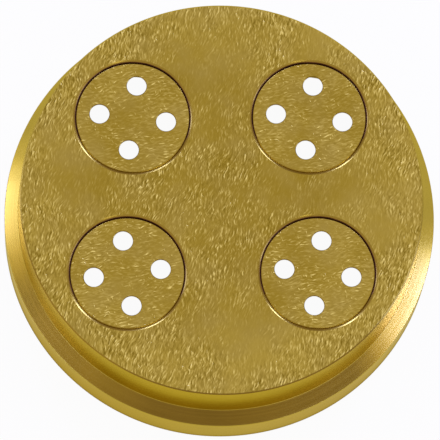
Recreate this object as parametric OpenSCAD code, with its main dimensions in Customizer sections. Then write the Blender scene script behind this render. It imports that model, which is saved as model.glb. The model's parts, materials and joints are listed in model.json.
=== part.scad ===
// Brass extrusion die for fresh pasta, with four pressed-in inserts.
// The die stands on its back face, where the dough enters, and its exit face looks up.
// Origin: centre of the back face. +Z runs along the die's axis towards the exit face.
// +X runs along the rows of inserts, and all sizes are in millimetres.

/* [Die body] */
// Diameter across the seating flange
flange_d = 57; // [55:0.5:64]
// Height of the flange's straight outer wall
flange_h = 6.2; // [4:0.1:8]
// Height of the conical shoulder between flange and front wall
shoulder_h = 1.8; // [1:0.1:4]
// Diameter of the front wall above the shoulder
front_d = 53.4; // [52:0.1:55]
// Thickness of the die from back face to exit face
die_h = 15.6; // [13:0.1:20]
// Radius of the rounded edge round the exit face
face_edge_r = 0.5; // [0.1:0.05:0.8]
// Radius of the fillet where the front wall meets the shoulder
shoulder_fillet_r = 0.5; // [0.1:0.05:1.5]
// Radius of the flange's two rounded edges
flange_edge_r = 0.25; // [0.1:0.05:0.6]

/* [Insert layout] */
// Radius of the circle through the insert centres
insert_circle_r = 16; // [15.4:0.1:16.8]
// Angle between +Y and each rear insert, seen from the axis, in degrees
rear_angle = 46.5; // [41:0.5:50]
// Angle between -Y and each front insert, seen from the axis, in degrees
front_angle = 51; // [41:0.5:54]
// Turn of the hole pattern in three of the inserts, in degrees
hole_turn = -7; // [-45:1:45]
// Turn of the hole pattern in the front left insert, in degrees
front_left_turn = 7; // [-45:1:45]

/* [Inserts] */
// Diameter of the insert's front plug
insert_d = 15; // [13:0.1:15.8]
// Radial clearance between an insert and its pocket
insert_clearance = 0.05; // [0.02:0.01:0.1]
// Depth of the insert's face below the exit face
insert_recess = 0.3; // [0:0.05:1]
// Chamfer round the insert's face
insert_edge = 0.2; // [0.05:0.05:0.4]
// Radial width of the collar that seats in the pocket
collar_w = 1.4; // [0.8:0.1:1.8]
// Thickness of the collar
collar_h = 2.8; // [1.5:0.1:4]
// Chamfer round the back of the collar
collar_edge = 0.3; // [0.1:0.05:0.6]
// Thickness of the perforated plate at the insert's front
plate_h = 1.5; // [1:0.1:2.5]
// Wall of the insert's cup beside the plate
cup_wall = 1.1; // [0.6:0.1:2]
// Width of the flat rim round the cup's mouth
cup_rim_w = 1.1; // [0.5:0.1:2]

/* [Extrusion holes] */
// Number of holes in each insert
holes_per_insert = 4; // [3:1:6]
// Diameter of each hole where the dough leaves it
hole_d = 2.6; // [1.5:0.1:3.2]
// Diameter of the circle through the hole centres
hole_circle_d = 8.8; // [7:0.1:9.5]
// Length of the straight land at each hole's exit
land_h = 0.5; // [0.2:0.1:0.9]
// Half angle of the lead-in cone behind each land, in degrees
lead_in_angle = 30; // [10:1:40]

/* [Pockets] */
// Depth of the collar seat below the exit face
seat_depth = 3.3; // [2.5:0.1:5]
// Chamfer round the pocket's edge at the exit face
pocket_edge = 0.15; // [0.05:0.05:0.4]
// Radial flare of the dough inlet at the back face
inlet_flare = 1.1; // [0.3:0.1:1.4]
// Height of the flared part of the dough inlet
inlet_h = 4.5; // [1:0.1:6]

/* [Hidden] */
$fn = 96;

flange_r = flange_d / 2;
front_r = front_d / 2;
shoulder_top = flange_h + shoulder_h;

insert_r = insert_d / 2;
collar_r = insert_r + collar_w;
face_z = die_h - insert_recess;
plate_z = face_z - plate_h;
seat_z = die_h - seat_depth;
collar_z = seat_z - collar_h;
cup_floor_r = insert_r - cup_wall;
cup_mouth_r = collar_r - cup_rim_w;

hole_r = hole_d / 2;
lead_in_h = plate_h - land_h;
lead_in_r = hole_r + lead_in_h * tan(lead_in_angle);

bore_r = insert_r + insert_clearance;
pocket_r = collar_r + insert_clearance;
mouth_r = pocket_r + inlet_flare;
cut = 1; // how far a cutting shape runs past the face that it cuts

// Insert centres, each as [X, Y]
rear_left = insert_circle_r * [-sin(rear_angle), cos(rear_angle)];
rear_right = insert_circle_r * [sin(rear_angle), cos(rear_angle)];
front_left = insert_circle_r * [-sin(front_angle), -cos(front_angle)];
front_right = insert_circle_r * [sin(front_angle), -cos(front_angle)];
insert_centres = [rear_left, rear_right, front_left, front_right];

function unit(v) = v / norm(v);
function along(from, to, distance) = from + unit(to - from) * distance;

// An arc of radius r that touches both edges of a corner, where u and v are points along the edges:
// half of the corner's angle, how far from the corner the arc touches, and the arc's centre
function half_angle(corner, u, v) = acos(unit(u - corner) * unit(v - corner)) / 2;
function arc_reach(corner, u, v, r) = r / tan(half_angle(corner, u, v));
function arc_centre(corner, u, v, r) =
    corner + unit(unit(u - corner) + unit(v - corner)) * r / sin(half_angle(corner, u, v));

// What is cut from a sharp outer corner to round it
module corner_cut(corner, u, v, r) {
    reach = arc_reach(corner, u, v, r);
    centre = arc_centre(corner, u, v, r);
    difference() {
        polygon([along(corner, centre, -cut), along(corner, u, reach), centre, along(corner, v, reach)]);
        translate(centre) circle(r = r);
    }
}

// Half section of the die body: flange, conical shoulder and front wall
module body_section() {
    axis_back = [0, 0];
    flange_back = [flange_r, 0];
    flange_front = [flange_r, flange_h];
    shoulder_inner = [front_r, shoulder_top];
    face_edge = [front_r, die_h];
    axis_front = [0, die_h];
    fillet_reach = arc_reach(shoulder_inner, flange_front, face_edge, shoulder_fillet_r);
    fillet_centre = arc_centre(shoulder_inner, flange_front, face_edge, shoulder_fillet_r);
    difference() {
        polygon([
            axis_back,
            flange_back,
            flange_front,
            along(shoulder_inner, flange_front, fillet_reach),
            along(shoulder_inner, face_edge, fillet_reach),
            face_edge,
            axis_front
        ]);
        translate(fillet_centre) circle(r = shoulder_fillet_r);
        corner_cut(flange_back, axis_back, flange_front, flange_edge_r);
        corner_cut(flange_front, flange_back, shoulder_inner, flange_edge_r);
        corner_cut(face_edge, shoulder_inner, axis_front, face_edge_r);
    }
}

// Stepped hole for one insert, from the flared dough inlet up to the exit face
module pocket() {
    edge_r = bore_r + pocket_edge;
    rotate_extrude() polygon([
        [0, -cut],
        [mouth_r, -cut],
        [mouth_r, 0],
        [pocket_r, inlet_h],
        [pocket_r, seat_z],
        [bore_r, seat_z],
        [bore_r, die_h - pocket_edge],
        [edge_r, die_h],
        [edge_r, die_h + cut],
        [0, die_h + cut]
    ]);
}

module die_body() {
    color("#A68C37") difference() {
        rotate_extrude() body_section();
        for (centre = insert_centres) translate(centre) pocket();
    }
}

// Turned cup: a perforated plate in front, and a collar behind that seats in the pocket
module insert_blank() {
    rotate_extrude() polygon([
        [0, face_z],
        [insert_r - insert_edge, face_z],
        [insert_r, face_z - insert_edge],
        [insert_r, seat_z],
        [collar_r, seat_z],
        [collar_r, collar_z + collar_edge],
        [collar_r - collar_edge, collar_z],
        [cup_mouth_r, collar_z],
        [cup_floor_r, plate_z],
        [0, plate_z]
    ]);
}

// Extrusion hole: a lead-in cone from inside the cup, then a short straight land
module extrusion_hole() {
    rotate_extrude() polygon([
        [0, plate_z - cut],
        [lead_in_r, plate_z - cut],
        [lead_in_r, plate_z],
        [hole_r, plate_z + lead_in_h],
        [hole_r, face_z + cut],
        [0, face_z + cut]
    ]);
}

module insert(centre, turn) {
    color("#A9913A") translate(centre) rotate(turn) difference() {
        insert_blank();
        for (i = [0 : holes_per_insert - 1])
            rotate(i * 360 / holes_per_insert) translate([hole_circle_d / 2, 0]) extrusion_hole();
    }
}

die_body();
insert(rear_left, hole_turn);  // insert_rear_left
insert(rear_right, hole_turn);  // insert_rear_right
insert(front_left, front_left_turn);  // insert_front_left
insert(front_right, hole_turn);  // insert_front_right
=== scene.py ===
import json
import math

import bmesh
import bpy
from mathutils import Matrix, Vector


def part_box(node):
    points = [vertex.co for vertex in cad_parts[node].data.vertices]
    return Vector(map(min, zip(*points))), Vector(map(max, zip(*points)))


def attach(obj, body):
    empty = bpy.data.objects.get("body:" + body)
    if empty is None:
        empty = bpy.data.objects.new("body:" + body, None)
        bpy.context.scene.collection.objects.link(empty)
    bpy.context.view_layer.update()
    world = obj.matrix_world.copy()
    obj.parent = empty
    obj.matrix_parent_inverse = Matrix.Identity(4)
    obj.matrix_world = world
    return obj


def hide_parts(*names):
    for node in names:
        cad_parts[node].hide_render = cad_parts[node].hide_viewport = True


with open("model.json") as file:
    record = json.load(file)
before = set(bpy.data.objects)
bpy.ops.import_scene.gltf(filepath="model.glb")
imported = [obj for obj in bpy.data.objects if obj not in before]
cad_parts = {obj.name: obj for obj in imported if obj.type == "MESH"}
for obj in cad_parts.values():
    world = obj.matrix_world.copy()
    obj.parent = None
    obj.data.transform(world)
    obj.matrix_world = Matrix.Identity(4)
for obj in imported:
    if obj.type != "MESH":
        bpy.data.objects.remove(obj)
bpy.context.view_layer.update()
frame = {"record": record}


# Die body: one piece of brass bar, turned to a seating flange, a conical shoulder and a front wall.
# Four stepped pockets are bored through it for the inserts, each with a flared dough inlet behind.
# The rim is left as the lathe cut it, and the front face is rubbed with abrasive cloth.
MM = 0.001
mounts = {mount["name"]: mount for mount in frame["record"]["mounts"]}
die_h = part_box("die_body")[1].z
# The CAD flange's least reach in X and Y, so that this flange stays inside its box
flange_r = min(min(-low, high) for low, high in list(zip(*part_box("die_body")))[:2])
front_r = mounts["front_wall"]["dims"]["r_mm"] * MM
flange_h = 6.2 * MM
shoulder_h = 1.8 * MM
flange_edge_r = 0.25 * MM
shoulder_fillet_r = 0.15 * MM
face_edge = 0.16 * MM
front_taper = 0.28 * MM
BODY_SIDES = 288
EDGE_SEGMENTS = 6

INSERT_NODES = ("insert_rear_left", "insert_rear_right", "insert_front_left", "insert_front_right")
insert_boxes = {node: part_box(node) for node in INSERT_NODES}
insert_centres = {node: (low + high) / 2 for node, (low, high) in insert_boxes.items()}
collar_low, insert_high = insert_boxes[INSERT_NODES[0]]
collar_r = (insert_high.x - collar_low.x) / 2
collar_z = collar_low.z
face_z = insert_high.z
collar_w = 1.4 * MM
insert_clearance = 0.05 * MM
seat_depth = 3.3 * MM
pocket_edge = 0.09 * MM
pocket_bevel_w = 0.24 * MM
pocket_bevel_h = 0.12 * MM
inlet_flare = 1.25 * MM
inlet_h = 4.5 * MM
insert_r = collar_r - collar_w
bore_r = insert_r + insert_clearance
pocket_r = collar_r + insert_clearance
seat_z = die_h - seat_depth
bevel_r = bore_r + pocket_edge + pocket_bevel_w
bevel_z = die_h - pocket_bevel_h
CUT_PAST = 1 * MM
POCKET_SIDES = 144
LEVEL = 0.99  # least upright part of a level face's normal
RING_TOLERANCE = 0.001 * MM
SMOOTH_ANGLE = math.radians(20)
FLAT_FACE_WEIGHT = 100  # how far large faces rule the shading of an edge, in percent


def turned_stock(name, sides, radius, low, high):
    """Round bar standing on Z between two heights, left in edit mode."""
    bpy.ops.object.select_all(action="DESELECT")
    bpy.ops.mesh.primitive_cylinder_add(
        vertices=sides, radius=radius, depth=high - low, location=(0, 0, (low + high) / 2))
    stock = bpy.context.object
    stock.name = name
    stock.data.name = name
    bpy.ops.object.transform_apply(location=True, rotation=True, scale=True)
    bpy.ops.object.mode_set(mode="EDIT")
    return stock


def draw_end(stock, way, steps):
    """Draws the end face that looks up (way 1) or down (way -1) through steps of radius and height."""
    bpy.ops.mesh.select_mode(type="FACE")
    mesh = bmesh.from_edit_mesh(stock.data)
    ends = [face for face in mesh.faces if face.normal.z * way > LEVEL and len(face.verts) > 4]
    end = max(ends, key=lambda face: face.calc_center_median().z * way)
    for face in mesh.faces:
        face.select_set(face is end)
    corner = end.verts[0].co
    radius, height = math.hypot(corner.x, corner.y), corner.z
    bmesh.update_edit_mesh(stock.data)
    for next_radius, next_height in steps:
        bpy.ops.mesh.extrude_region_move(TRANSFORM_OT_translate={"value": (0, 0, next_height - height)})
        grow = next_radius / radius
        bpy.ops.transform.resize(value=(grow, grow, 1), center_override=(0, 0, next_height))
        radius, height = next_radius, next_height


def round_edge(stock, radius, height, reach, segments=EDGE_SEGMENTS):
    """Rounds the edge ring at one radius and height, up to a reach on both its faces.

    One segment cuts a chamfer.
    """
    bpy.ops.mesh.select_mode(type="EDGE")
    mesh = bmesh.from_edit_mesh(stock.data)

    def on_ring(vertex):
        off_radius = abs(math.hypot(vertex.co.x, vertex.co.y) - radius)
        return max(off_radius, abs(vertex.co.z - height)) < RING_TOLERANCE

    for edge in mesh.edges:
        edge.select_set(all(on_ring(vertex) for vertex in edge.verts))
    bmesh.update_edit_mesh(stock.data)
    bpy.ops.mesh.bevel(offset=reach, segments=segments, profile=0.5, affect="EDGES")


def pick(piece):
    """Selects one piece alone and makes it the active one."""
    bpy.ops.object.select_all(action="DESELECT")
    piece.select_set(True)
    bpy.context.view_layer.objects.active = piece


def copied(piece, name, centre, turn=0):
    """Copy of a piece modelled on the die's axis, with its own mesh, turned and set at a centre."""
    pick(piece)
    bpy.ops.object.duplicate(linked=False)
    copy = bpy.context.object
    copy.name = name
    copy.data.name = name
    copy.location = (centre[0], centre[1], 0)
    copy.rotation_euler = (0, 0, turn)
    bpy.ops.object.transform_apply(location=True, rotation=True, scale=True)
    return copy


def cut_out(piece, cutter):
    """Takes the cutter's shape out of a piece, and throws the cutter away."""
    pick(piece)
    cut = piece.modifiers.new("cut", "BOOLEAN")
    cut.operation = "DIFFERENCE"
    cut.solver = "EXACT"
    cut.object = cutter
    bpy.ops.object.modifier_apply(modifier=cut.name)
    bpy.data.objects.remove(cutter)


def smooth_surface(piece):
    """Shades the turned surfaces smooth and keeps the flat ones flat."""
    pick(piece)
    bpy.ops.object.shade_smooth_by_angle(angle=SMOOTH_ANGLE)
    even = piece.modifiers.new("even", "WEIGHTED_NORMAL")
    even.keep_sharp = True
    even.weight = FLAT_FACE_WEIGHT
    bpy.ops.object.modifier_apply(modifier=even.name)


shoulder_top = flange_h + shoulder_h
slant = math.atan2(flange_r - front_r, shoulder_h)
corner_share = math.tan(slant / 2)

die_body = turned_stock("turned_die_body", BODY_SIDES, flange_r, 0, flange_h)
draw_end(die_body, 1, [(front_r, shoulder_top), (front_r - front_taper, die_h)])
round_edge(die_body, flange_r, 0, flange_edge_r)
round_edge(die_body, flange_r, flange_h, flange_edge_r * corner_share)
round_edge(die_body, front_r, shoulder_top, shoulder_fillet_r * corner_share)
round_edge(die_body, front_r - front_taper, die_h, face_edge, segments=1)
bpy.ops.object.mode_set(mode="OBJECT")

pocket = turned_stock("pocket_cutter", POCKET_SIDES, pocket_r + inlet_flare, -CUT_PAST, 0)
draw_end(pocket, 1, [
    (pocket_r, inlet_h),
    (pocket_r, seat_z),
    (bore_r, seat_z),
    (bore_r, bevel_z - pocket_edge),
    (bore_r + pocket_edge, bevel_z),
    (bevel_r, die_h),
    (bevel_r, die_h + CUT_PAST),
])
bpy.ops.object.mode_set(mode="OBJECT")
for node in INSERT_NODES:
    cut_out(die_body, copied(pocket, "pocket_for_" + node, insert_centres[node]))
bpy.data.objects.remove(pocket)
smooth_surface(die_body)


def new_material(name):
    """Material that is all metal, and its shader."""
    material = bpy.data.materials.new(name)
    material.use_nodes = True
    shader = material.node_tree.nodes["Principled BSDF"]
    shader.inputs["Metallic"].default_value = 1
    return material, shader


def add_node(material, kind, **settings):
    """New node with its settings."""
    node = material.node_tree.nodes.new(kind)
    for name, value in settings.items():
        setattr(node, name, value)
    return node


def join(material, source, target):
    """Links one node's output to another's input."""
    material.node_tree.links.new(source, target)


def millimetres(material):
    """Object coordinates, counted in millimetres."""
    place = add_node(material, "ShaderNodeTexCoord")
    scale = add_node(material, "ShaderNodeMapping")
    scale.inputs["Scale"].default_value = (1 / MM, 1 / MM, 1 / MM)
    join(material, place.outputs["Object"], scale.inputs["Vector"])
    return scale.outputs["Vector"]


def stretched(material, vector, turn, size):
    """Coordinates turned about Z, then counted in cells of the given size."""
    turned = add_node(material, "ShaderNodeMapping", vector_type="TEXTURE")
    turned.inputs["Rotation"].default_value = (0, 0, math.radians(turn))
    turned.inputs["Scale"].default_value = size
    join(material, vector, turned.inputs["Vector"])
    return turned.outputs["Vector"]


def noise(material, vector, scale, detail):
    """Noise with a number of cells to each unit of its coordinates, and steps of detail."""
    texture = add_node(material, "ShaderNodeTexNoise", noise_dimensions="3D")
    texture.inputs["Scale"].default_value = scale
    texture.inputs["Detail"].default_value = detail
    join(material, vector, texture.inputs["Vector"])
    return texture


def ranged(material, value, low, high, to_low=0.0, to_high=1.0):
    """Value mapped from one range to another, and held at its ends."""
    node = add_node(material, "ShaderNodeMapRange", clamp=True)
    node.inputs["From Min"].default_value = low
    node.inputs["From Max"].default_value = high
    node.inputs["To Min"].default_value = to_low
    node.inputs["To Max"].default_value = to_high
    join(material, value, node.inputs["Value"])
    return node.outputs["Result"]


def combined(material, operation, a, b):
    """Result of a sum on two values, each a plain number or a node's output."""
    node = add_node(material, "ShaderNodeMath", operation=operation)
    for socket, value in zip(node.inputs, (a, b)):
        if isinstance(value, (int, float)):
            socket.default_value = value
        else:
            join(material, value, socket)
    return node.outputs["Value"]


def tinted(material, share, low_colour, high_colour):
    """Colour between two others, by a share from 0 to 1."""
    ramp = add_node(material, "ShaderNodeValToRGB")
    ramp.color_ramp.elements[0].color = (*low_colour, 1)
    ramp.color_ramp.elements[1].color = (*high_colour, 1)
    join(material, share, ramp.inputs["Fac"])
    return ramp.outputs["Color"]


def bumped(material, shader, height, depth):
    """Makes a surface look uneven, by a height from 0 to 1 and its full depth."""
    bump = add_node(material, "ShaderNodeBump")
    bump.inputs["Strength"].default_value = 1
    bump.inputs["Distance"].default_value = depth
    join(material, height, bump.inputs["Height"])
    join(material, bump.outputs["Normal"], shader.inputs["Normal"])


BRASS_DULL = (0.318, 0.228, 0.026)
BRASS_WORN = (0.420, 0.318, 0.055)
# Painted shade and painted glints for the stroke marks on a rubbed face
BRASS_PAINTED_SHADE = (0.20, 0.137, 0.009)
BRASS_PAINTED_GLINT = (0.80, 0.68, 0.22)
BRASS_GREY = (0.365, 0.279, 0.068)
BRASS_AT_GLANCE = (0.82, 0.70, 0.37, 1)
MIX_FACTOR, MIX_FROM, MIX_TO, MIX_RESULT = 0, 6, 7, 2  # a mix node's sockets for colours


def mixed(material, share, ground, colour):
    """Colour that goes from a ground to a plain colour, by a share from 0 to 1."""
    mix = add_node(material, "ShaderNodeMix", data_type="RGBA")
    mix.inputs[MIX_TO].default_value = (*colour, 1)
    join(material, share, mix.inputs[MIX_FACTOR])
    join(material, ground, mix.inputs[MIX_FROM])
    return mix.outputs[MIX_RESULT]


def moved(material, vector, shift):
    """Coordinates read a step further on."""
    step = add_node(material, "ShaderNodeVectorMath", operation="ADD")
    step.inputs[1].default_value = shift
    join(material, vector, step.inputs[0])
    return step.outputs["Vector"]


NOISE_MIDDLE = 0.5
NOISE_RANGE = (0.3, 0.7)  # what most of a noise lies in


def swept(material, place, size, shift):
    """Coordinates that wander a little from place to place, as a hand does."""
    wander = noise(material, place, 1 / size, 2)
    centred = add_node(material, "ShaderNodeVectorMath", operation="SUBTRACT")
    centred.inputs[1].default_value = (NOISE_MIDDLE, NOISE_MIDDLE, NOISE_MIDDLE)
    join(material, wander.outputs["Color"], centred.inputs[0])
    shifted = add_node(material, "ShaderNodeVectorMath", operation="MULTIPLY_ADD")
    shifted.inputs[1].default_value = (shift, shift, 0)
    join(material, centred.outputs["Vector"], shifted.inputs[0])
    join(material, place, shifted.inputs[2])
    return shifted.outputs["Vector"]


STROKE_RIDGE = 0.05


def scratch_height(material, vector, grain, strokes):
    """Height of a scratched face: an uneven grain, and strokes strewn over cells in some layers.

    The grain is a turn in degrees, the width and length of its marks in millimetres, and its share.
    A layer of strokes has a reach within the cell and a rareness as well, before its share.
    """
    turn, width, length, share = grain
    uneven = noise(material, stretched(material, vector, turn, (width, length, 1)), 1, 1)
    height = combined(material, "MULTIPLY", uneven.outputs["Fac"], share)
    for turn, width, length, reach, rare, share in strokes:
        cells = add_node(material, "ShaderNodeTexVoronoi", voronoi_dimensions="2D", feature="F1")
        cells.inputs["Scale"].default_value = 1
        join(material, stretched(material, vector, turn, (width, length, 1)), cells.inputs["Vector"])
        chance = add_node(material, "ShaderNodeSeparateColor")
        join(material, cells.outputs["Color"], chance.inputs["Color"])
        there = ranged(material, chance.outputs["Red"], rare, 1, 0, share)
        profile = ranged(material, cells.outputs["Distance"], reach, STROKE_RIDGE)
        height = combined(material, "ADD", height, combined(material, "MULTIPLY", profile, there))
    return height


def away_from(material, vector, x, y):
    """Distance across the face from one point, in millimetres."""
    distance = add_node(material, "ShaderNodeVectorMath", operation="DISTANCE")
    distance.inputs[1].default_value = (x, y, die_h / MM)
    join(material, vector, distance.inputs[0])
    return distance.outputs["Value"]


# How the hand wanders: the size of a sweep and how far it strays, in millimetres
LONG_SWEEP = (6, 2)
SHORT_SWEEP = (0.8, 0.3)
RAGGED_EDGE = (4, 7)
# How uneven the work and the wear are: cells in a millimetre, and steps of detail
WORK_PATCHES = (0.3, 3)
WEAR_CLOUDS = (0.12, 4)
GREY_CLOUDS = (0.25, 3)
# Where the rim gets more work and where hands wear the face, in millimetres from a middle
RIM_WORKED = (17, 26)
RIM_EXTRA_WORK = 0.35
HANDLED = (14, 27)
HANDLED_MIDDLE = (-2, 2)
HANDLED_LEAST = -0.12
# Work on the face: least and most of it, what is left in a missed patch, and how it bares the brass
WORK_RANGE = (0.25, 1.4)
MISSED_EDGE = (0.35, 1.1)
MISSED_WORK = 0.2
EVEN_WORK = 0.9
WORK_BARES = 0.15
# Where the wear, the grey haze, and the painted shade and painted glints on the marks begin and end
WORN = (0.2, 0.8)
GREYED = (0.4, 0.75)
MOST_GREY = 0.6
PAINTED_SHADE_SPAN = (0, -1)
PAINTED_GLINT_SPAN = (0, 1.2)
RUBBED_ROUGHNESS = 0.3


def rubbed_brass(name, grain, strokes, level, beside, depth, handled_share, missed):
    """Flat brass face covered with short strokes of an abrasive, which missed some patches.

    The level parts raised marks from sunk ones, and beside is the step towards their lit side. The colour
    paints the lit sides and raised marks paler as glints, and the far sides darker as shade.
    """
    material, shader = new_material(name)
    place = millimetres(material)
    path = swept(material, swept(material, place, *LONG_SWEEP), *SHORT_SWEEP)
    patch = noise(material, place, *WORK_PATCHES)
    ragged = swept(material, place, *RAGGED_EDGE)
    near_rim = ranged(material, away_from(material, ragged, 0, 0), *RIM_WORKED, 0, RIM_EXTRA_WORK)
    uneven = ranged(material, patch.outputs["Fac"], *NOISE_RANGE, *WORK_RANGE)
    worked = combined(material, "ADD", uneven, near_rim)
    for x, y, radius in missed:
        inner, outer = (share * radius for share in MISSED_EDGE)
        reached = ranged(material, away_from(material, ragged, x, y), inner, outer, MISSED_WORK, 1)
        worked = combined(material, "MULTIPLY", worked, reached)

    marks = scratch_height(material, path, grain, strokes)
    bumped(material, shader, combined(material, "MULTIPLY", marks, worked), depth)
    next_marks = scratch_height(material, moved(material, path, beside), grain, strokes)
    lit_side = combined(material, "SUBTRACT", marks, next_marks)
    raised = combined(material, "SUBTRACT", marks, level)
    shade = combined(material, "MULTIPLY", combined(material, "ADD", lit_side, raised), worked)

    cloud = noise(material, place, *WEAR_CLOUDS)
    from_middle = away_from(material, ragged, *HANDLED_MIDDLE)
    handled = ranged(material, from_middle, *HANDLED, HANDLED_LEAST, handled_share)
    extra_work = combined(material, "SUBTRACT", worked, EVEN_WORK)
    bare = combined(material, "MULTIPLY", extra_work, WORK_BARES)
    worn = combined(material, "ADD", combined(material, "ADD", cloud.outputs["Fac"], handled), bare)
    metal = tinted(material, ranged(material, worn, *WORN), BRASS_DULL, BRASS_WORN)
    haze = noise(material, place, *GREY_CLOUDS)
    greyed = ranged(material, haze.outputs["Fac"], *GREYED, 0, MOST_GREY)
    ground = mixed(material, greyed, metal, BRASS_GREY)
    # Each mark's lit side and raised top are painted paler as glints, and its far side darker as painted
    # shade
    with_painted_shade = mixed(material, ranged(material, shade, *PAINTED_SHADE_SPAN), ground, BRASS_PAINTED_SHADE)
    with_painted_glints = mixed(material, ranged(material, shade, *PAINTED_GLINT_SPAN), with_painted_shade, BRASS_PAINTED_GLINT)
    join(material, with_painted_glints, shader.inputs["Base Color"])
    shader.inputs["Roughness"].default_value = RUBBED_ROUGHNESS
    shader.inputs["Specular Tint"].default_value = BRASS_AT_GLANCE
    return material


TURNED_DARK = (0.40, 0.293, 0.043)
TURNED_LIGHT = (0.48, 0.351, 0.055)
TURNED_ROUGHNESS = (0.2, 0.24)
TOOL_LINE = (30, 30, 0.2)  # reach across the die and width along its axis, in millimetres
TOOL_LINE_DEPTH = 0.0003 * MM
TURNED_CLOUDS = (0.2, 3)
CLOUD_SHARE = 0.5


def turned_brass(name):
    """Brass as the lathe leaves it, with faint tool lines that run round it."""
    material, shader = new_material(name)
    place = millimetres(material)
    lines = noise(material, stretched(material, place, 0, TOOL_LINE), 1, 2)
    bumped(material, shader, lines.outputs["Fac"], TOOL_LINE_DEPTH)
    cloud = noise(material, place, *TURNED_CLOUDS)
    clouded = ranged(material, cloud.outputs["Fac"], *NOISE_RANGE, 0, CLOUD_SHARE)
    lined = ranged(material, lines.outputs["Fac"], *NOISE_RANGE, 0, 1 - CLOUD_SHARE)
    uneven = combined(material, "ADD", clouded, lined)
    join(material, tinted(material, uneven, TURNED_DARK, TURNED_LIGHT), shader.inputs["Base Color"])
    roughness = ranged(material, lines.outputs["Fac"], *NOISE_RANGE, *TURNED_ROUGHNESS)
    join(material, roughness, shader.inputs["Roughness"])
    shader.inputs["Specular Tint"].default_value = BRASS_AT_GLANCE
    return material


HEIGHT_TOLERANCE = 0.01 * MM


def dress(piece, front, rest, front_height):
    """One material on the flat front of a piece, another on all its other faces."""
    piece.data.materials.append(front)
    piece.data.materials.append(rest)
    for face in piece.data.polygons:
        at_front = abs(face.center.z - front_height) < HEIGHT_TOLERANCE
        face.material_index = 0 if at_front and face.normal.z > LEVEL else 1


# Painted shade for the gaps between inserts and pockets: an uneven dark brown in place of the shade there
GAP_SHADE_DARK = (0.14, 0.055, 0.018)
GAP_SHADE_LIGHT = (0.26, 0.13, 0.045)
GAP_SHADE_ROUGHNESS = 0.5
GAP_SHADE_CLOUDS = (0.7, 3)
GAP_SHADE_RANGE = (0.35, 0.7)


def painted_gap_shade_brass(name):
    """Brass in a narrow gap, painted an uneven dark brown to stand in for the shade that falls in the gap.
    """
    material, shader = new_material(name)
    shade_cloud = noise(material, millimetres(material), *GAP_SHADE_CLOUDS)
    shade_share = ranged(material, shade_cloud.outputs["Fac"], *GAP_SHADE_RANGE)
    join(material, tinted(material, shade_share, GAP_SHADE_DARK, GAP_SHADE_LIGHT), shader.inputs["Base Color"])
    shader.inputs["Roughness"].default_value = GAP_SHADE_ROUGHNESS
    return material


# Within 68 degrees of the die's front, a gap gets no painted shade
UNSHADED_FRONT = math.cos(math.radians(68))
STEEP = 0.9  # most that a gap's wall looks up


def shade_gaps(piece, material, centres, low_r, high_r):
    """Puts the painted gap shade on the gaps above the collar seats, but not on the front of each, which
    stays plain brass.
    """
    piece.data.materials.append(material)
    for face in piece.data.polygons:
        offsets = [face.center.xy - Vector(centre) for centre in centres]
        offset = min(offsets, key=lambda vector: vector.length)
        above_seat = face.center.z > seat_z + HEIGHT_TOLERANCE and face.normal.z < STEEP
        left_unshaded = -offset.y >= UNSHADED_FRONT * offset.length
        if above_seat and low_r < offset.length < high_r and not left_unshaded:
            face.material_index = len(piece.data.materials) - 1


turned = turned_brass("turned_brass")
painted_gap_shade = painted_gap_shade_brass("painted_gap_shade_brass")
rubbed = rubbed_brass(
    "rubbed_brass",
    grain=(-17, 0.26, 0.7, 1.6),
    strokes=[
        (-18, 0.34, 1.0, 0.42, 0.5, 0.7),
        (-34, 0.34, 0.9, 0.42, 0.6, 0.7),
        (-4, 0.36, 1.1, 0.42, 0.6, 0.7),
        (-24, 0.5, 5.0, 0.22, 0.8, 0.8),
    ],
    level=0.95,
    beside=(0.08, 0.02, 0),
    depth=0.02 * MM,
    handled_share=0.42,
    missed=[
        (-2.5, 18, 9),
        (-19, 3, 6.5),
        (8, 1.5, 5),
        (16, 1, 5),
        (3, -18.5, 7),
        (21, -4, 4),
        (12, 20, 4),
    ],
)
dress(die_body, rubbed, turned, die_h)
# Painted shade on the pocket walls and edges round each insert
shade_gaps(die_body, painted_gap_shade, [centre.xy for centre in insert_centres.values()], 0, bore_r + pocket_edge)
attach(die_body, "root")
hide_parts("die_body")


# Inserts: small brass cups, turned and drilled, pressed into the pockets from behind.
# Each seats with its collar on the pocket's shoulder, and its perforated plate ends just below the face.
# The dough leaves through four short holes, each with a lead-in cone behind it.
plug_gap = 0.005 * MM
plate_h = 1.5 * MM
insert_edge = 0.26 * MM
collar_edge = 0.3 * MM
cup_wall = 1.1 * MM
cup_rim_w = 1.1 * MM
hole_r = 1.3 * MM
hole_circle_r = 4.4 * MM
hole_edge = 0.06 * MM
land_h = 0.25 * MM
lead_in_angle = math.radians(27)
hole_turn = {"insert_front_left": 7}  # in degrees
HOLE_TURN_ELSEWHERE = -7
HOLES = 4
HOLE_SIDES = 64

plug_r = bore_r - plug_gap
plate_z = face_z - plate_h
cup_floor_r = insert_r - cup_wall
cup_mouth_r = collar_r - cup_rim_w
lead_in_h = face_z - land_h - plate_z
lead_in_r = hole_r + lead_in_h * math.tan(lead_in_angle)
insert = turned_stock("turned_insert", POCKET_SIDES, collar_r, collar_z + collar_edge, seat_z)
draw_end(insert, 1, [(plug_r, seat_z), (plug_r, face_z)])
round_edge(insert, plug_r, face_z, insert_edge)
draw_end(insert, -1, [(collar_r - collar_edge, collar_z), (cup_mouth_r, collar_z), (cup_floor_r, plate_z)])
bpy.ops.object.mode_set(mode="OBJECT")
hole = turned_stock("hole_cutter", HOLE_SIDES, lead_in_r, plate_z - CUT_PAST, plate_z)
draw_end(hole, 1, [
    (hole_r, plate_z + lead_in_h),
    (hole_r, face_z - hole_edge),
    (hole_r + hole_edge + CUT_PAST, face_z + CUT_PAST),
])
bpy.ops.object.mode_set(mode="OBJECT")
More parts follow.
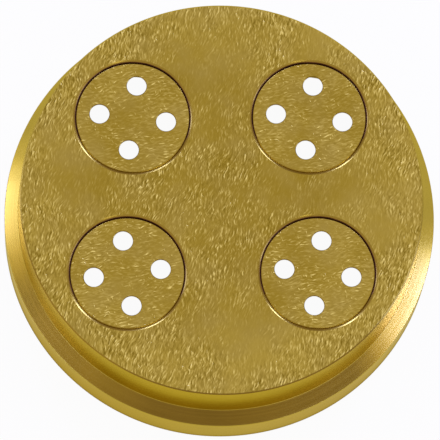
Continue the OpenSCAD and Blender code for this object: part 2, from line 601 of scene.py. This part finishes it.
for number in range(HOLES):
    turn = 2 * math.pi * number / HOLES
    centre = (hole_circle_r * math.cos(turn), hole_circle_r * math.sin(turn))
    cut_out(insert, copied(hole, "hole_cutter_%d" % number, centre))
bpy.data.objects.remove(hole)
smooth_surface(insert)
faced = rubbed_brass(
    "rubbed_insert_brass",
    grain=(-78, 0.28, 0.6, 0.95),
    strokes=[
        (-80, 0.34, 1.2, 0.34, 0.82, 0.95),
        (-58, 0.34, 1.0, 0.34, 0.86, 0.9),
        (15, 0.3, 0.6, 0.34, 0.86, 0.85),
    ],
    level=0.46,
    beside=(0.02, 0.07, 0),
    depth=0.01 * MM,
    handled_share=0,
    missed=[],
)
dress(insert, faced, turned, face_z)
# Painted shade on the insert's rounded edge and plug, down in its gap
shade_gaps(insert, painted_gap_shade, [(0, 0)], plug_r - insert_edge, collar_r)
for node in INSERT_NODES:
    turn = math.radians(hole_turn.get(node, HOLE_TURN_ELSEWHERE))
    pressed_in = copied(insert, "turned_" + node, insert_centres[node], turn)
    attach(pressed_in, "root")
    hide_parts(node)
bpy.data.objects.remove(insert)


# Camera: a long lens high in front of the die, turned a little so that the rows of inserts lie level.
# Its angles and distance were fitted to the photo, and the face's centre is set at the photo's pixel.
IMAGE_PIXELS = 440
PIXELS_PER_METRE = 7645
FACE_CENTRE_PIXEL = (222.0, 197.9)
camera_elevation = math.radians(74.7)
camera_azimuth = math.radians(-97.9)
camera_roll = math.radians(7.6)
camera_distance = 0.654
SENSOR = 36
CLIP_START = 0.01

lens = bpy.data.cameras.new("camera")
lens.sensor_fit = "HORIZONTAL"
lens.sensor_width = SENSOR
lens.lens = SENSOR * camera_distance * PIXELS_PER_METRE / IMAGE_PIXELS
lens.clip_start = CLIP_START
camera = bpy.data.objects.new("camera", lens)
bpy.context.scene.collection.objects.link(camera)
towards = Vector((
    math.cos(camera_elevation) * math.cos(camera_azimuth),
    math.cos(camera_elevation) * math.sin(camera_azimuth),
    math.sin(camera_elevation),
))
camera_axes = (-towards).to_track_quat("-Z", "Y").to_matrix() @ Matrix.Rotation(camera_roll, 3, "Z")
right, up = camera_axes.col[0], camera_axes.col[1]
off_right = (IMAGE_PIXELS / 2 - FACE_CENTRE_PIXEL[0]) / PIXELS_PER_METRE
off_up = (FACE_CENTRE_PIXEL[1] - IMAGE_PIXELS / 2) / PIXELS_PER_METRE
face_centre = Vector((0, 0, die_h))
camera.location = face_centre + towards * camera_distance + right * off_right + up * off_up
camera.rotation_euler = camera_axes.to_euler()
bpy.context.scene.camera = camera
bpy.context.scene.view_settings.view_transform = "Standard"


# Studio: a sheet of white paper that reads as white and keeps a faint shadow of the die.
# In the metal it also shows a painted golden light from the rim at the sides, painted shade beside the
# rim, and a painted contact shadow as a dark line at the foot.
# A soft box hangs overhead, and low strips that fade at their ends draw the bright bands on the rim.
FLOOR_SIZE = 3.0
FLOOR_GAP = 0.1 * MM
PAPER = (0.8, 0.8, 0.8)
WHITE = (1, 1, 1)
WHITENESS = 0.95  # how much of the paper in sight is plain white
RIM_FRONT_SHADE = (0.9, 0.9, 1.0)
RIM_SIDE_SHADE = (0.8, 0.7, 0.22)
SIDE_SHARE = 0.75  # of the flange's radius, where the shade of the sides is full
SHADE_REACH = 2.2 * MM
FOOT_SHADE = (0.4, 0.36, 0.16)
FOOT_REACH = 0.3 * MM
bpy.ops.object.select_all(action="DESELECT")
bpy.ops.mesh.primitive_plane_add(size=FLOOR_SIZE, location=(0, 0, -FLOOR_GAP))
floor = bpy.context.object
floor.name = "studio_floor"
paper = bpy.data.materials.new("white_paper")
paper.use_nodes = True
paper.node_tree.nodes.clear()
output = add_node(paper, "ShaderNodeOutputMaterial")
matte = add_node(paper, "ShaderNodeBsdfDiffuse")
matte.inputs["Color"].default_value = (*PAPER, 1)
glow = add_node(paper, "ShaderNodeEmission")
glow.inputs["Strength"].default_value = 1
blend = add_node(paper, "ShaderNodeMixShader")
ray = add_node(paper, "ShaderNodeLightPath")
seen = combined(paper, "MAXIMUM", ray.outputs["Is Camera Ray"], ray.outputs["Is Transmission Ray"])
spot = add_node(paper, "ShaderNodeTexCoord").outputs["Object"]
from_axis = add_node(paper, "ShaderNodeVectorMath", operation="LENGTH")
join(paper, spot, from_axis.inputs[0])
distance = from_axis.outputs["Value"]
across = add_node(paper, "ShaderNodeSeparateXYZ")
join(paper, spot, across.inputs["Vector"])
off_centre = combined(paper, "ABSOLUTE", across.outputs["X"], 0)
sideways = ranged(paper, off_centre, 0, SIDE_SHARE * flange_r)
# Only the metal sees this: painted shade beside the rim, painted golden bounce light at the sides, and a
# painted contact shadow at the foot
beside_rim = tinted(paper, sideways, RIM_FRONT_SHADE, RIM_SIDE_SHADE)
clear_of_rim = ranged(paper, distance, flange_r, flange_r + SHADE_REACH)
at_foot = ranged(paper, distance, flange_r, flange_r + FOOT_REACH, 1, 0)
shaded = mixed(paper, at_foot, mixed(paper, clear_of_rim, beside_rim, WHITE), FOOT_SHADE)
join(paper, mixed(paper, seen, shaded, WHITE), glow.inputs["Color"])
shown = combined(paper, "MULTIPLY", seen, WHITENESS)
join(paper, combined(paper, "MAXIMUM", shown, ray.outputs["Is Glossy Ray"]), blend.inputs["Fac"])
join(paper, matte.outputs["BSDF"], blend.inputs[1])
join(paper, glow.outputs["Emission"], blend.inputs[2])
clear = add_node(paper, "ShaderNodeBsdfTransparent")
facing = add_node(paper, "ShaderNodeNewGeometry")
one_sided = add_node(paper, "ShaderNodeMixShader")
join(paper, facing.outputs["Backfacing"], one_sided.inputs["Fac"])
join(paper, blend.outputs["Shader"], one_sided.inputs[1])
join(paper, clear.outputs["BSDF"], one_sided.inputs[2])
join(paper, one_sided.outputs["Shader"], output.inputs["Surface"])
floor.data.materials.append(paper)

# The room round it is dim low down and lighter above.
ROOM_LOW = (0.36, 0.265, 0.22)
ROOM_HIGH = (0.62, 0.52, 0.47)
ROOM_RISE = (0.27, 0.47)
world = bpy.data.worlds.new("studio")
bpy.context.scene.world = world
world.use_nodes = True
backdrop = world.node_tree.nodes["Background"]
outlook = add_node(world, "ShaderNodeTexCoord")
rise = add_node(world, "ShaderNodeSeparateXYZ")
join(world, outlook.outputs["Generated"], rise.inputs["Vector"])
room = tinted(world, ranged(world, rise.outputs["Z"], *ROOM_RISE), ROOM_LOW, ROOM_HIGH)
join(world, room, backdrop.inputs["Color"])
backdrop.inputs["Strength"].default_value = 1


def soft_light(name, place, aim, width, height, radiance, colour=WHITE):
    """Rectangular light that faces a point. Its power follows from how bright it looks."""
    lamp = bpy.data.lights.new(name, "AREA")
    lamp.shape = "RECTANGLE"
    lamp.size = width
    lamp.size_y = height
    lamp.color = colour
    lamp.energy = radiance * math.pi * width * height
    holder = bpy.data.objects.new(name, lamp)
    bpy.context.scene.collection.objects.link(holder)
    holder.location = place
    holder.visible_camera = False
    holder.rotation_euler = (Vector(aim) - Vector(place)).to_track_quat("-Z", "Y").to_euler()


DAYLIGHT = (0.85, 1.0, 3.2)
PALE_DAYLIGHT = (0.95, 1.1, 3.0)
SKYLIGHT = (0.93, 1.13, 6.6)
GOLDEN_LIGHT = (1.0, 0.93, 0.8)
LAMPLIGHT = (1.0, 0.83, 0.4)
SOFT_ENDS = ((0.6, 0.3, 1.0), (1.0, 0.45, 1.02), (1.45, 0.25, 1.04))  # length, radiance, step back
FILL_HEIGHT = 0.25
STRIP_FOOT = 0.3 * MM
STRIP_MIDDLE = 4.3 * MM
STRIP_TOP = 14.5 * MM
UPPER_LENGTH = 33 * MM
CORE_LENGTH = 24 * MM
WING_LENGTH = 44 * MM
WING_STEP = 1.08
FRONT_LENGTH = 40 * MM
BACK_PLACE = (0.0640, -0.0045)
BACK_LENGTH = 9 * MM
BACK_FOOT = 1.2 * MM
BACK_TOP = 3.8 * MM
BACK_RADIANCE = 5.0


def fading_light(name, place, aim, length, height, radiance, colour):
    """Light that fades towards its ends: three lights one behind the other, each longer and weaker."""
    for number, (part, share, step) in enumerate(SOFT_ENDS):
        part_name = "%s_%d" % (name, number)
        stepped_back = Vector(place) * step
        soft_light(part_name, stepped_back, aim, part * length, height, share * radiance, colour)


def low_strip(name, place, length, low, high, radiance, colour):
    """Low light that stands close to the die between two heights."""
    middle = (low + high) / 2
    fading_light(name, (*place, middle), (0, 0, middle), length, high - low, radiance, colour)


soft_light("overhead_box", (0.03, 0.2, 0.7), face_centre, width=0.7, height=0.6, radiance=0.38)
for name, place, length, radiance in (
    ("left_fill", (-0.38, -0.25, 0.1), 0.42, 0.22),
    ("right_fill", (0.26, -0.38, 0.1), 0.38, 0.06),
):
    fading_light(name, place, face_centre, length, FILL_HEIGHT, radiance, LAMPLIGHT)
for name, place, width, height, radiance, colour in (
    ("left_light", (-0.376, 0.137, 0.12), 0.15, 0.15, 1.8, DAYLIGHT),
    ("right_light", (0.391, -0.083, 0.12), 0.19, 0.15, 1.8, DAYLIGHT),
    ("front_glow", (0.146, -0.356, 0.47), 0.08, 0.1, 2.0, WHITE),
    ("back_left", (-0.19, 0.54, 0.33), 0.13, 0.22, 8.0, DAYLIGHT),
    ("back_right", (0.36, 0.46, 0.33), 0.13, 0.22, 8.0, DAYLIGHT),
):
    soft_light(name, place, face_centre, width, height, radiance, colour)
for side, high_place, upper, place, core, core_colour, wing in (
    ("left", (-0.0666, 0.0055), 0.7, (-0.0660, 0.0107), 4.6, DAYLIGHT, 2.4),
    ("right", (0.0600, -0.0240), 1.0, (0.0618, -0.0189), 12.0, SKYLIGHT, 2.3),
):
    behind = (place[0] * WING_STEP, place[1] * WING_STEP)
    low_strip(side + "_strip_upper", high_place, UPPER_LENGTH, STRIP_MIDDLE, STRIP_TOP, upper, LAMPLIGHT)
    low_strip(side + "_strip_core", place, CORE_LENGTH, STRIP_FOOT, STRIP_MIDDLE, core, core_colour)
    low_strip(side + "_strip_wings", behind, WING_LENGTH, STRIP_FOOT, STRIP_MIDDLE, wing, GOLDEN_LIGHT)
for name, place, radiance in (
    ("left_front_strip", (-0.058, -0.033), 3.3),
    ("right_front_strip", (0.038, -0.055), 1.7),
):
    low_strip(name, place, FRONT_LENGTH, STRIP_FOOT, STRIP_MIDDLE, radiance, DAYLIGHT)
low_strip("right_back_strip", BACK_PLACE, BACK_LENGTH, BACK_FOOT, BACK_TOP, BACK_RADIANCE, PALE_DAYLIGHT)
